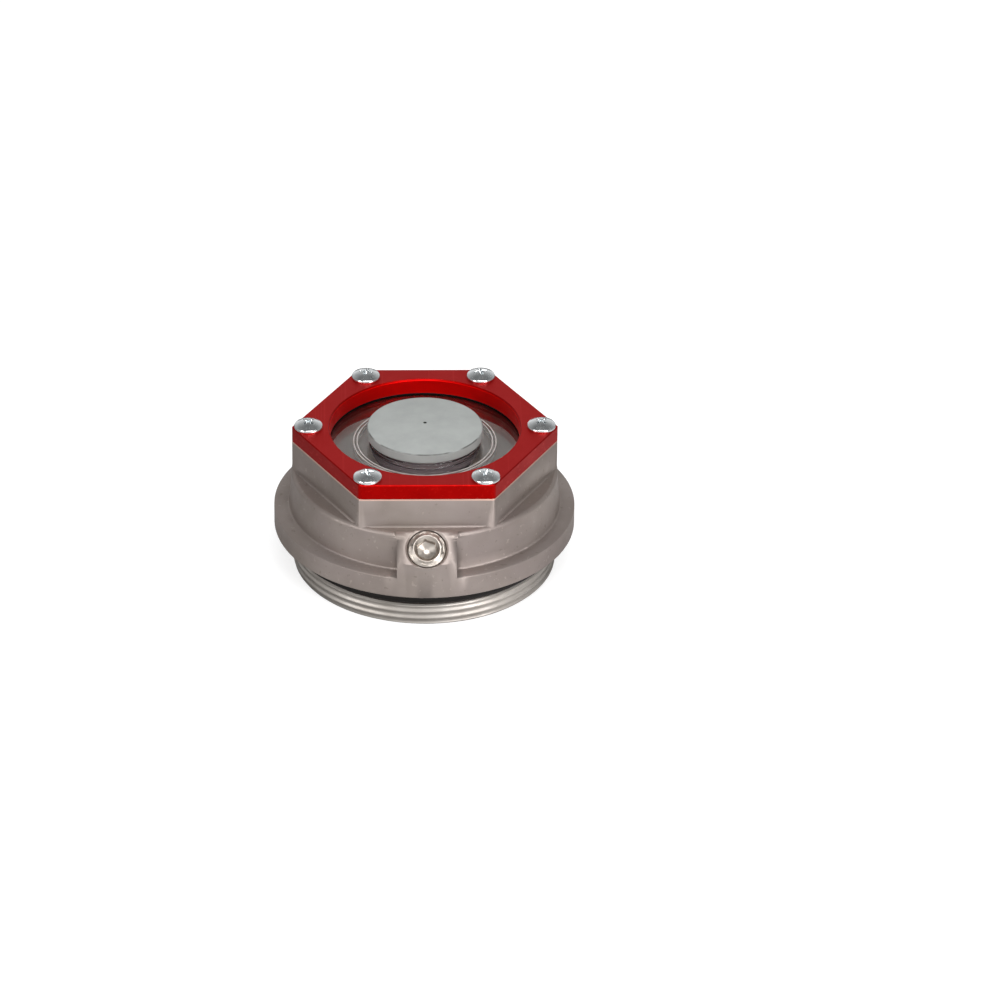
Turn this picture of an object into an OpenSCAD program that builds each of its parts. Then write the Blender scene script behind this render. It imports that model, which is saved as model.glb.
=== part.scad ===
// Oil bath hub cap: a cast housing that screws onto a wheel hub, with a clear
// sight window clamped under a hexagonal bezel, a filler plug in the side and
// a vented rubber plug in the middle of the window.
// The origin is the centre of the spigot's lower rim, +Z runs outwards from
// the hub, and the filler boss points to -Y. All sizes are in millimetres.

/* [Hexagon head] */
// Width across the flats of the head and the bezel
hex_af = 100; // [92:1:124]
// Rounding of the upright corners
hex_corner_r = 2.2; // [1:0.1:4]
// Height of the housing's flats above the ledge
head_h = 13.6; // [11:0.1:20]
// Chamfer round the top of the head
head_chamfer = 0.8; // [0.3:0.1:1.2]
// Round in the corner between a flat and its ledge
head_foot_r = 0.8; // [0.4:0.1:1.2]

/* [Drum] */
// Height of the drum between the flange and the ledge
drum_h = 17; // [14:0.1:26]
// Draft of the drum, measured on the radius
drum_draft = 1; // [0.2:0.1:2]
// Rounding of the drum's upper edge
drum_edge_r = 1.8; // [1:0.1:3]
// Round in the corner between the drum and the flange
drum_foot_r = 1; // [0.5:0.1:2]
// Wall between the drum's side and the bore inside it
drum_wall = 8.2; // [6:0.1:10]

/* [Flange] */
// Ledge that the flange leaves round the drum
flange_ledge = 6.6; // [5:0.1:12]
// Thickness of the flange
flange_t = 9.7; // [7:0.1:14]
// Chamfer on the flange's edges
rim_chamfer = 0.5; // [0.2:0.1:1]

/* [Spigot] */
// Outside diameter of the hub thread
thread_d = 114.3; // [95:0.1:120]
// Length of the thread
thread_len = 9.8; // [7:0.1:20]
// Chamfer at both ends of the thread
thread_chamfer = 0.9; // [0.4:0.1:1.4]
// Radial depth of the relief between the thread and the flange
relief_depth = 2.85; // [2:0.05:3.5]
// Wall between the relief and the bore
spigot_wall = 3.8; // [3:0.1:7]
// Chamfer at the mouth of the bore
bore_chamfer = 1.2; // [0.3:0.1:2]

/* [Flange O-ring] */
// Thickness of the O-ring's section
o_ring_d = 5.3; // [4:0.1:6.5]
// Room beside the O-ring in the relief, half above it and half below
relief_spare = 3; // [1:0.1:5]

/* [Casting inside the head] */
// Wall between the head's bore and a screw's axis
head_wall = 5.6; // [4.4:0.1:7]
// Wall between the ledge's inner corner and the sloping roof under it
roof_wall = 3.5; // [2.5:0.1:5]
// Thickness of the shelf that carries the window
shelf_t = 3.2; // [2.5:0.1:5]
// How far the shelf reaches inside the gasket's lip
shelf_reach = 0.1; // [0:0.1:1]

/* [Bezel] */
// Thickness of the bezel
bezel_t = 6.75; // [4:0.05:12]
// How far the bezel reaches inside the gasket's lip
bezel_reach = 0.4; // [0:0.1:2]
// Chamfer round the opening
bezel_bore_chamfer = 0.6; // [0.2:0.1:1]
// Chamfer round the outer edge
bezel_chamfer = 0.35; // [0.2:0.05:0.6]

/* [Screws] */
// Distance of each screw's axis inside the head's sharp corner
screw_inset = 7.44; // [7:0.01:9]
// Outside diameter of the screw's thread
screw_d = 6; // [5:0.1:7.2]
// Length of the screw under its head
screw_len = 16; // [13:0.1:18]
// Diameter of the head
screw_head_d = 12.5; // [10:0.1:13]
// Height of the head
screw_head_h = 3; // [2.4:0.1:4]
// Height of the head's straight rim
screw_rim_h = 0.9; // [0.4:0.1:1.2]
// Length of each slot of the cross recess
recess_len = 5.6; // [4:0.1:7]
// Width of each slot of the cross recess
recess_w = 1.2; // [0.8:0.1:1.6]
// Depth of the cross recess
recess_depth = 2.1; // [1.2:0.1:2.6]
// Clearance round the screw in the bezel
screw_clearance = 0.3; // [0.1:0.05:0.5]
// Clearance round the screw's thread in the tapped hole
tapped_clearance = 0.05; // [0.02:0.01:0.15]
// Depth of the tapped hole past the screw's tip
screw_spare = 1.6; // [1:0.1:3]

/* [Window] */
// Thickness of the window
window_t = 5; // [4:0.1:7]
// Wall of the housing outside the window's seat, at a screw
seat_wall = 1.2; // [0.8:0.1:2]
// Radius of the inner of the two level rings
level_ring_r = 29.3; // [27.5:0.1:34]
// Distance between the level rings
level_ring_gap = 1.5; // [1.2:0.1:3]
// Height of the level rings
level_ring_h = 0.3; // [0.1:0.05:0.5]
// Width of a level ring
level_ring_w = 0.5; // [0.3:0.1:0.8]
// Outside diameter of the window's collar
collar_d = 47.6; // [40:0.1:52]
// Height of the collar above the window
collar_h = 3.7; // [3:0.1:6]
// Wall of the collar
collar_wall = 2.6; // [2:0.1:4]
// Radius of the bead round the collar
collar_bead_r = 0.45; // [0.2:0.05:0.6]
// Round at the collar's foot
collar_foot_r = 0.5; // [0.2:0.1:1]

/* [Window gasket] */
// Thickness of the gasket's lip over the window
gasket_top_t = 0.7; // [0.4:0.1:1.2]
// Thickness of the gasket's lip under the window
gasket_low_t = 1.5; // [0.8:0.1:2.5]
// Thickness of the gasket round the window's edge
gasket_edge_t = 0.8; // [0.6:0.1:1.5]
// Width of the gasket's lips
gasket_lip_w = 4.4; // [2.5:0.1:5]
// Clearance of the gaskets in their seats
gasket_clearance = 0.05; // [0.02:0.01:0.2]

/* [Vent plug] */
// How far the plug's head reaches past the collar
vent_overhang = 1.2; // [0.3:0.1:2]
// Thickness of the plug's head at its side
vent_head_t = 4; // [3:0.1:6]
// How far the middle of the head rises above its edge
vent_crown = 1.7; // [0.5:0.1:2.5]
// Rounding of the head's upper edge
vent_edge_r = 0.4; // [0.3:0.1:1]
// Clearance between the plug's neck and the collar
vent_clearance = 0.1; // [0.05:0.05:0.3]
// Wall of the plug's hollow neck
vent_wall = 3.2; // [2.5:0.1:5]
// How far the barb stands out past the collar's bore
vent_barb = 2; // [1:0.1:3]
// Height of the skirt below the window
vent_skirt_h = 5; // [4:0.5:8]
// Diameter of the vent hole
vent_hole_d = 0.9; // [0.6:0.1:2]

/* [Filler boss] */
// Width of the boss
boss_w = 25.6; // [24:0.1:36]
// Round in the corner between the boss's sides and the drum
boss_foot_r = 1.4; // [0.8:0.1:2]
// Slope of the seat round the port, in degrees from level
seat_slope = 43; // [35:1:50]
// How far the seat's upper edge lies inside the drum's side
seat_inset = 3.65; // [2.4:0.05:5]
// Distance from the seat's upper edge down to the port's centre
port_drop = 7.65; // [7:0.05:8.5]

/* [Filler port and plug] */
// Outside diameter of the filler plug's thread
port_d = 16.7; // [13.9:0.1:18.4]
// Clearance round the filler plug's thread
port_clearance = 0.05; // [0.02:0.01:0.15]
// Chamfer round the port's mouth
port_chamfer = 1.15; // [0.4:0.05:1.4]
// Diameter of the drilling between the port's thread and the inside
port_drill_d = 12; // [8:0.1:13]
// Depth of the port's thread past the plug's tip
port_spare = 1.5; // [0.5:0.1:3]
// Length of the filler plug
filler_len = 10.5; // [9:0.1:12]
// How far the plug's face stands out past the seat
filler_stand = 0.7; // [-1:0.1:1.5]
// Width of the chamfer round the plug's face, measured on the radius
filler_chamfer_w = 1.9; // [0.6:0.1:2]
// Depth of that chamfer
filler_chamfer_h = 1.2; // [0.6:0.1:2]
// Chamfer at the plug's tip
filler_tip_chamfer = 1; // [0.4:0.1:1.4]
// Width across the flats of the plug's socket
socket_af = 7.94; // [6:0.01:8.5]
// Depth of the socket
socket_depth = 6; // [4:0.1:7]
// Diameter of the countersink round the socket
socket_sink_d = 11.2; // [10:0.1:12]

/* [Hidden] */
$fn = 96;
// Small overlap that keeps cuts and joints clean
eps = 0.5;
sides = 6;

// Heights from the spigot's lower rim
flange_z = thread_len + relief_spare + o_ring_d + 2 * gasket_clearance;
ledge_base_z = flange_z + flange_t;
ledge_z = ledge_base_z + drum_h;
seam_z = ledge_z + head_h;
bezel_top_z = seam_z + bezel_t;
window_top_z = seam_z - gasket_top_t;
window_low_z = window_top_z - window_t;
shelf_z = window_low_z - gasket_low_t;
collar_top_z = window_top_z + collar_h;

// Radii of the housing
hex_r = hex_af / 2 / cos(180 / sides);
thread_r = thread_d / 2;
neck_r = thread_r - relief_depth;
bore_r = neck_r - spigot_wall;
drum_r = hex_r;
drum_base_r = drum_r + drum_draft;
flange_r = max(drum_base_r, thread_r) + flange_ledge;
// The drum leans back up to a short straight stretch below its rounded edge
drum_straight_z = ledge_z - drum_edge_r - 1;
drum_lean = atan(drum_draft / (drum_straight_z - ledge_base_z));

// Screws, and what they leave for the window
screw_circle_r = hex_r - screw_inset;
tapped_r = screw_d / 2 + tapped_clearance;
screw_hole_r = screw_d / 2 + screw_clearance;
screw_tip_z = bezel_top_z - screw_len;
seat_r = screw_circle_r - tapped_r - seat_wall;
gasket_r = seat_r - gasket_clearance;
window_r = gasket_r - gasket_edge_t;
lip_r = gasket_r - gasket_lip_w;
bezel_bore_r = lip_r - bezel_reach;
shelf_r = lip_r - shelf_reach;

// Inside of the casting: a bore in the drum, a sloping roof and a bore in the head
drum_bore_r = drum_r - drum_wall;
head_bore_r = screw_circle_r - head_wall;
roof_line = hex_af / 2 + ledge_z - roof_wall * sqrt(2);

// Window collar and the vent plug in it
collar_r = collar_d / 2;
collar_bore_r = collar_r - collar_wall;
collar_bead_z = collar_top_z - 1.7;
vent_neck_r = collar_bore_r - vent_clearance;
vent_hollow_r = vent_neck_r - vent_wall;
vent_head_r = collar_r + vent_overhang;
vent_edge_z = collar_top_z + vent_head_t;
vent_top_z = vent_edge_z + vent_crown;
vent_barb_r = collar_bore_r + vent_barb;
// The head's crown is part of a sphere whose centre lies on the axis
vent_crown_r = (vent_head_r * vent_head_r + vent_crown * vent_crown) / (2 * vent_crown);
vent_crown_z = vent_top_z - vent_crown_r;
vent_round_x = vent_head_r - vent_edge_r;
vent_round_lean = asin(vent_round_x / (vent_crown_r - vent_edge_r));
vent_round_z = vent_crown_z + (vent_crown_r - vent_edge_r) * cos(vent_round_lean);

// Filler port, square to the boss's sloping seat
port_r = port_d / 2 + port_clearance;
port_drill_r = port_drill_d / 2;
port_depth = filler_len - filler_stand + port_spare;
seat_edge_y = drum_r - seat_inset;
port_y = seat_edge_y + port_drop * cos(seat_slope);
// The drilling runs on until its lower side has reached the drum's bore
port_drill_len = (port_y + port_drill_r * cos(seat_slope) - drum_bore_r) / sin(seat_slope);

// Outline of the hexagon with rounded corners, one of them on +X
module hex_outline(af, corner_r) {
    centre_r = (af / 2 - corner_r) / cos(30);
    polygon([for (k = [0:sides - 1], turn = [-30, 30])
        centre_r * [cos(60 * k), sin(60 * k)]
            + corner_r * [cos(60 * k + turn), sin(60 * k + turn)]]);
    for (k = [0:sides - 1])
        translate(centre_r * [cos(60 * k), sin(60 * k)])
            circle(corner_r);
}

// Wedges that chamfer the upper edges of a hexagon whose top is at z
module hex_edge_cutters(af, z, chamfer) {
    for (k = [0:sides - 1])
        rotate([0, 0, 60 * k + 30])
            translate([(af - chamfer) / 2, 0, z - chamfer / 2])
                rotate([0, -45, 0])
                    translate([0, -af / 2, -2 * chamfer])
                        cube([3 * chamfer, af, 4 * chamfer]);
}

// Concave round between a floor along +X and a wall that rises from the same
// corner and leans back by the given angle
module corner_fill(r, lean = 0) {
    x = r * (1 - sin(lean)) / cos(lean);
    touch = [x, r] - r * [cos(lean), sin(lean)];
    difference() {
        polygon([[-eps, -eps], [x, -eps], [x, r], touch, touch - [eps, 0]]);
        translate([x, r])
            circle(r);
    }
}

// What is cut away to round a convex corner at the origin, its sides along -X and -Y
module edge_cut(r) {
    translate([-r, -r])
        difference() {
            square(r + eps);
            circle(r);
        }
}

// The same for an upright side under a top that rises towards the axis by the given
// angle, but with the round's centre at the origin
module crown_edge_cut(r, lean) {
    reach = r + eps;
    difference() {
        polygon([[0, 0], [reach, 0], [reach, reach], reach * [sin(lean), cos(lean)]]);
        circle(r);
    }
}

// Places its children at every screw
module at_screw(k) {
    rotate([0, 0, 60 * k])
        translate([screw_circle_r, 0, 0])
            children();
}

// Places its children on the seat: +Z square to it, -Y down the slope, the
// origin the given distance down from its upper edge
module on_seat(drop) {
    translate([0, -seat_edge_y, ledge_z])
        rotate([seat_slope, 0, 0])
            translate([0, -drop, 0])
                children();
}

// Half section of the turned outside, from the spigot up to the ledge
module body_section() {
    difference() {
        polygon([
            [0, 0], [thread_r - thread_chamfer, 0], [thread_r, thread_chamfer],
            [thread_r, thread_len - thread_chamfer], [thread_r - thread_chamfer, thread_len],
            [neck_r, thread_len], [neck_r, flange_z],
            [flange_r - rim_chamfer, flange_z], [flange_r, flange_z + rim_chamfer],
            [flange_r, ledge_base_z - rim_chamfer], [flange_r - rim_chamfer, ledge_base_z],
            [drum_base_r, ledge_base_z], [drum_r, drum_straight_z], [drum_r, ledge_z], [0, ledge_z]]);
        translate([drum_r, ledge_z])
            edge_cut(drum_edge_r);
    }
    translate([drum_base_r, ledge_base_z])
        corner_fill(drum_foot_r, drum_lean);
}

// Half section of the space inside, open at the spigot and at the window
module cavity_section() {
    polygon([
        [0, -eps], [bore_r + bore_chamfer + eps, -eps], [bore_r, bore_chamfer],
        [bore_r, flange_z], [drum_bore_r, ledge_base_z],
        [drum_bore_r, roof_line - drum_bore_r], [head_bore_r, roof_line - head_bore_r],
        [head_bore_r, shelf_z - shelf_t], [shelf_r, shelf_z - shelf_t],
        [shelf_r, shelf_z], [seat_r, shelf_z], [seat_r, seam_z + eps], [0, seam_z + eps]]);
}

// Hexagonal head, with a round in the corner between each flat and its ledge
module head() {
    difference() {
        translate([0, 0, ledge_z - drum_edge_r])
            linear_extrude(head_h + drum_edge_r)
                hex_outline(hex_af, hex_corner_r);
        hex_edge_cutters(hex_af, seam_z, head_chamfer);
    }
    intersection() {
        for (k = [0:sides - 1])
            rotate([90, 0, 60 * k + 30])
                linear_extrude(hex_r, center = true)
                    translate([hex_af / 2, ledge_z])
                        corner_fill(head_foot_r);
        cylinder(r = drum_r - drum_edge_r, h = seam_z);
    }
}

// Plan of the boss, with a round where each side runs into the drum
module boss_outline() {
    fill_x = boss_w / 2 + boss_foot_r;
    fill_y = -sqrt(pow(drum_r + boss_foot_r, 2) - fill_x * fill_x);
    touch = drum_r / (drum_r + boss_foot_r) * [fill_x, fill_y];
    translate([-boss_w / 2, -flange_r - 1])
        square([boss_w, flange_r - drum_bore_r]);
    for (side = [0, 1])
        mirror([side, 0])
            difference() {
                polygon([[boss_w / 2 - 1, fill_y], [fill_x, fill_y], touch, touch + [0, 1],
                         [boss_w / 2 - 1, touch.y + 1]]);
                translate([fill_x, fill_y])
                    circle(boss_foot_r);
            }
}

// Boss for the filler plug, flush with the flange's rim below the seat
module filler_boss() {
    intersection() {
        translate([0, 0, flange_z + rim_chamfer])
            linear_extrude(ledge_z - drum_edge_r - flange_z - rim_chamfer)
                boss_outline();
        cylinder(r = flange_r, h = ledge_z);
    }
}

// Flat seat that slopes down from the ledge, and the tapped port in it
module filler_port() {
    width = boss_w + 2 * boss_foot_r;
    on_seat(0)
        translate([-width / 2, -flange_r + drum_bore_r, 0])
            cube([width, flange_r - drum_bore_r + eps, drum_h]);
    on_seat(port_drop) {
        translate([0, 0, -port_depth])
            cylinder(r = port_r, h = port_depth + 4);
        translate([0, 0, -port_chamfer])
            cylinder(r1 = port_r, r2 = port_r + port_chamfer + 3, h = port_chamfer + 3);
        translate([0, 0, -port_drill_len])
            cylinder(r = port_drill_r, h = port_drill_len);
    }
}

module housing() {
    color([0.58, 0.54, 0.51])
        difference() {
            union() {
                rotate_extrude()
                    body_section();
                head();
                filler_boss();
            }
            rotate_extrude()
                cavity_section();
            for (k = [1:sides])
                at_screw(k)
                    translate([0, 0, screw_tip_z - screw_spare])
                        cylinder(r = tapped_r, h = seam_z - screw_tip_z + screw_spare + eps);
            filler_port();
        }
}

module flange_o_ring() {
    color([0.07, 0.07, 0.07])
        translate([0, 0, (thread_len + flange_z) / 2])
            rotate_extrude()
                translate([neck_r + gasket_clearance + o_ring_d / 2, 0])
                    circle(o_ring_d / 2);
}

// Clear disc with two raised level rings, and a collar with a bead round it
module window() {
    color([0.85, 0.88, 0.9, 0.5])
        rotate_extrude() {
            translate([collar_bore_r, window_low_z])
                square([window_r - collar_bore_r, window_t]);
            translate([collar_bore_r, window_low_z])
                square([collar_wall, window_t + collar_h]);
            translate([collar_r, window_top_z])
                corner_fill(collar_foot_r);
            translate([collar_r, collar_bead_z])
                circle(collar_bead_r);
            for (r = [level_ring_r, level_ring_r + level_ring_gap])
                translate([r - level_ring_w / 2, window_low_z])
                    square([level_ring_w, window_t + level_ring_h]);
        }
}

// Channel-section ring that wraps the window's edge
module window_gasket() {
    color([0.1, 0.1, 0.1])
        rotate_extrude()
            polygon([
                [lip_r, shelf_z], [gasket_r, shelf_z], [gasket_r, seam_z], [lip_r, seam_z],
                [lip_r, window_top_z], [window_r, window_top_z], [window_r, window_low_z],
                [lip_r, window_low_z]]);
}

module bezel() {
    color([0.65, 0.05, 0.04])
        difference() {
            translate([0, 0, seam_z])
                linear_extrude(bezel_t)
                    hex_outline(hex_af, hex_corner_r);
            hex_edge_cutters(hex_af, bezel_top_z, bezel_chamfer);
            rotate_extrude()
                polygon([
                    [0, seam_z - eps], [bezel_bore_r, seam_z - eps],
                    [bezel_bore_r, bezel_top_z - bezel_bore_chamfer],
                    [bezel_bore_r + bezel_bore_chamfer + eps, bezel_top_z + eps],
                    [0, bezel_top_z + eps]]);
            for (k = [1:sides])
                at_screw(k)
                    translate([0, 0, seam_z - eps])
                        cylinder(r = screw_hole_r, h = bezel_t + 2 * eps);
        }
}

// Two slots that cross and narrow downwards from z = 0
module cross_recess() {
    for (turn = [45, 135])
        rotate([90, 0, turn])
            linear_extrude(recess_w, center = true)
                polygon([
                    [-recess_len / 2, eps], [recess_len / 2, eps], [recess_len / 2, -recess_depth / 4],
                    [recess_len / 5, -recess_depth], [-recess_len / 5, -recess_depth],
                    [-recess_len / 2, -recess_depth / 4]]);
}

// Pan head screw with a domed top, its head seated on the bezel
module screw() {
    head_r = screw_head_d / 2;
    dome_h = screw_head_h - screw_rim_h;
    dome_r = (head_r * head_r + dome_h * dome_h) / (2 * dome_h);
    color([0.8, 0.81, 0.82])
        translate([0, 0, bezel_top_z])
            difference() {
                union() {
                    intersection() {
                        cylinder(r = head_r, h = screw_head_h);
                        translate([0, 0, screw_head_h - dome_r])
                            sphere(dome_r);
                    }
                    translate([0, 0, -screw_len])
                        cylinder(r = screw_d / 2, h = screw_len + eps);
                }
                translate([0, 0, screw_head_h])
                    cross_recess();
            }
}

// Threaded plug with a hexagon socket, its face square to the port
module filler_plug() {
    r = port_d / 2;
    socket_r = socket_af / 2 / cos(30);
    sink_r = socket_sink_d / 2;
    color([0.75, 0.73, 0.7])
        on_seat(port_drop)
            translate([0, 0, filler_stand])
                difference() {
                    rotate_extrude()
                        polygon([
                            [0, -filler_len], [r - filler_tip_chamfer, -filler_len],
                            [r, -filler_len + filler_tip_chamfer], [r, -filler_chamfer_h],
                            [r - filler_chamfer_w, 0], [0, 0]]);
                    translate([0, 0, -socket_depth])
                        cylinder(r = socket_r, h = socket_depth + eps, $fn = 6);
                    translate([0, 0, socket_af / 2 - sink_r])
                        cylinder(r1 = socket_af / 2, r2 = sink_r + eps, h = sink_r - socket_af / 2 + eps);
                }
}

// Rubber plug: a crowned head, a hollow neck through the collar and a flared skirt
module vent_plug() {
    color([0.68, 0.69, 0.68])
        rotate_extrude()
            difference() {
                intersection() {
                    polygon([
                        [vent_hole_d / 2, collar_top_z - vent_wall], [vent_hollow_r, collar_top_z - vent_wall],
                        [vent_hollow_r, window_low_z - vent_skirt_h], [vent_neck_r, window_low_z - vent_skirt_h],
                        [vent_barb_r, window_low_z - vent_wall / 2], [vent_barb_r, window_low_z],
                        [vent_neck_r, window_low_z], [vent_neck_r, collar_top_z],
                        [vent_head_r, collar_top_z], [vent_head_r, vent_top_z + eps],
                        [vent_hole_d / 2, vent_top_z + eps]]);
                    translate([0, vent_crown_z])
                        circle(vent_crown_r, $fn = 720);
                }
                translate([vent_round_x, vent_round_z])
                    crown_edge_cut(vent_edge_r, vent_round_lean);
            }
}

housing();
flange_o_ring();
window();
window_gasket();
bezel();
for (k = [1:sides])
    at_screw(k) screw();
filler_plug();
vent_plug();
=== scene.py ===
# %% [markdown]
# Oil bath hub cap
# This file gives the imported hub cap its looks. The cap is a cast aluminium housing that screws onto a
# wheel hub. A clear window in its outer end shows the oil level, a red bezel with six screws holds the
# window, and a grey rubber plug in the middle lets the air out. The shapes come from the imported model, so
# the work here is materials, light, and the few places whose detail is finer than the model: the hub
# thread, the filler boss, the window's level rings, the screws and the filler plug.

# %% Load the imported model
import math

import bmesh
import bpy
import numpy as np
from mathutils import Matrix, Vector


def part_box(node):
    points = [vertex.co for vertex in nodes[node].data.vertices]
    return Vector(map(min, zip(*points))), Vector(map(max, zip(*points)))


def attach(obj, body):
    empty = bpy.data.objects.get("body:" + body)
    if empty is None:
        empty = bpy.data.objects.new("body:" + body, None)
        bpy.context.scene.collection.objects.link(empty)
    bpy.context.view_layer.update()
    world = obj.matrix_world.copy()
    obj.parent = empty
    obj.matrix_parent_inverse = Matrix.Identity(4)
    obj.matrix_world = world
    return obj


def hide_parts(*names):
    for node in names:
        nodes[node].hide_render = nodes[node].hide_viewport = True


MM = 0.001

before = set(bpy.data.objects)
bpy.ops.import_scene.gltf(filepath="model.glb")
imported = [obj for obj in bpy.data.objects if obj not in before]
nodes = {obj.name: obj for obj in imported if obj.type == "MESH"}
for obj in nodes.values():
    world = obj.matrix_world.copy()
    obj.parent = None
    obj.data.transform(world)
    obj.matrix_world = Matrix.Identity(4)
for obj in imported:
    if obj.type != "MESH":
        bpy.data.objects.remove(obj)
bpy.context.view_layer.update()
print("nodes:", ", ".join(sorted(nodes)))

# %% [markdown]
# The camera stands where the photographer's stood. Its direction, distance and lens were worked out from
# the corners of the hexagon and the ellipses of the round parts. The cap fills a third of the picture's
# width, and it lies left of the middle and above it. So the camera isn't aimed at the cap: it is moved
# right and down along its own axes, which keeps the directions that the shapes gave.

# %% Camera
CAMERA_ELEVATION = math.radians(30.77)
CAMERA_TURN = math.radians(-2.05)
CAMERA_ROLL = math.radians(0.87)
CAMERA_DISTANCE = 2.4526
CAMERA_RIGHT, CAMERA_DOWN = 0.0324, 0.03175
CLIP_START, CLIP_END = 0.05, 20
PICTURE_PIXELS = 1000
FOCAL_PIXELS = 5677.6
SENSOR_MM = 36


def add_object(name, data):
    """A new object with its data, linked to the scene."""
    made = bpy.data.objects.new(name, data)
    bpy.context.scene.collection.objects.link(made)
    return made


def photo_camera(target):
    """A camera turned to the elevation, turn and roll, and moved back and aside along its own axes."""
    cos_rise, sin_rise = math.cos(CAMERA_ELEVATION), math.sin(CAMERA_ELEVATION)
    cos_turn, sin_turn = math.cos(CAMERA_TURN), math.sin(CAMERA_TURN)
    cos_roll, sin_roll = math.cos(CAMERA_ROLL), math.sin(CAMERA_ROLL)
    back = Vector((sin_turn * cos_rise, -cos_turn * cos_rise, sin_rise))
    right = Vector((cos_turn, sin_turn, 0))
    up = back.cross(right)
    rolled_right = cos_roll * right + sin_roll * up
    rolled_up = cos_roll * up - sin_roll * right
    data = bpy.data.cameras.new("photo_camera")
    data.sensor_width = SENSOR_MM
    data.lens = FOCAL_PIXELS / PICTURE_PIXELS * SENSOR_MM
    data.clip_start = CLIP_START
    data.clip_end = CLIP_END
    camera = add_object("photo_camera", data)
    place = target + CAMERA_RIGHT * rolled_right - CAMERA_DOWN * rolled_up + CAMERA_DISTANCE * back
    turned = Matrix((rolled_right, rolled_up, back)).transposed().to_4x4()
    camera.matrix_world = Matrix.Translation(place) @ turned
    bpy.context.scene.camera = camera
    return camera


bezel_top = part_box("bezel")[1].z
camera = photo_camera(Vector((0, 0, bezel_top)))
print("lens %.1f mm, %.2f m away" % (camera.data.lens, CAMERA_DISTANCE))

# %% [markdown]
# Every look below is a graph of shader nodes. Written out node by node and link by link, a graph is hard to
# follow. So a few short functions each add one node, fill its inputs with values or with what other nodes
# give out, and hand back its own output. A graph then reads like a formula.

# %% Tools for shader nodes


def linear(red, green, blue):
    """A colour given as 0 to 255 screen values, as the linear values that a shader needs: the sRGB curve."""
    screen = np.array([red, green, blue]) / 255
    low = screen / 12.92
    high = ((screen + 0.055) / 1.055) ** 2.4
    return (*np.where(screen <= 0.04045, low, high).tolist(), 1.0)


def fill(tree, node, sockets):
    """Fills each named or numbered input of a node with a value or with another node's output."""
    for name, value in sockets.items():
        if isinstance(value, bpy.types.NodeSocket):
            tree.links.new(value, node.inputs[name])
        else:
            node.inputs[name].default_value = value


def put(tree, kind, sockets=None, **settings):
    """Adds a node, sets its settings and fills its inputs."""
    node = tree.nodes.new(kind)
    for name, value in settings.items():
        setattr(node, name, value)
    fill(tree, node, sockets or {})
    return node


def maths(tree, operation, *values):
    """One step of arithmetic on numbers or sockets."""
    return put(tree, "ShaderNodeMath", dict(enumerate(values)), operation=operation).outputs[0]


def times(tree, first, second):
    """The product of two numbers or sockets."""
    return maths(tree, "MULTIPLY", first, second)


def diagonal(tree, across, along):
    """The length of the diagonal: the root of the two squares' sum."""
    return maths(tree, "SQRT", maths(tree, "ADD", times(tree, across, across), times(tree, along, along)))


def spread(tree, value, from_low, from_high, to_low=0.0, to_high=1.0):
    """Moves a value from one range to another, and holds it there."""
    sockets = {"Value": value, "From Min": from_low, "From Max": from_high,
               "To Min": to_low, "To Max": to_high}
    return put(tree, "ShaderNodeMapRange", sockets).outputs["Result"]


def pick(tree, mask, limits):
    """The number between two limits that a mask from 0 to 1 picks."""
    return spread(tree, mask, 0.0, 1.0, *limits)


def mix_numbers(tree, amount, first, second):
    """The first number where the amount is 0 and the second where it is 1."""
    return put(tree, "ShaderNodeMix", {"Factor": amount, "A": first, "B": second}).outputs["Result"]


def blend_colours(tree, amount, first, second, share=1.0):
    """The first colour where the amount is 0. Where it is 1, the second shows by the given share."""
    node = put(tree, "ShaderNodeMix", data_type="RGBA")
    number = {socket.identifier: place for place, socket in enumerate(node.inputs)}
    fill(tree, node, {number["Factor_Float"]: times(tree, amount, share),
                      number["A_Color"]: first, number["B_Color"]: second})
    return next(socket for socket in node.outputs if socket.identifier == "Result_Color")


def light_path(tree, name):
    """1 for rays of one kind, such as Is Camera Ray, and 0 for the rest."""
    return put(tree, "ShaderNodeLightPath").outputs[name]


def empty_tree(owner):
    """The node tree of a material or a world, with nothing in it."""
    owner.use_nodes = True
    owner.node_tree.nodes.clear()
    return owner.node_tree


print("half grey on the screen is %.3f in a shader" % linear(128, 128, 128)[0])

# %% [markdown]
# A picture taken in a white studio needs little: a pale floor, a white surround and soft lamps. The camera
# sees the surround as pure white, and the floor keeps the cap's shadow. Metal with nothing but white round
# it looks like paper, so what it mirrors is graded. The sky is darker overhead and at the sides. The floor
# glows in front of the cap and to its right, and is dark close by. The kind of light ray picks the look, so
# the background itself shows none of this.

# %% White surround
SURROUND = 0.55
HORIZON, OVERHEAD = 1.0, 0.2
SKY_LOW, SKY_HIGH = 0.1, 0.9
SIDE_START, SIDE_END, SIDE_SHADE = 0.25, 0.95, 0.42


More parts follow.
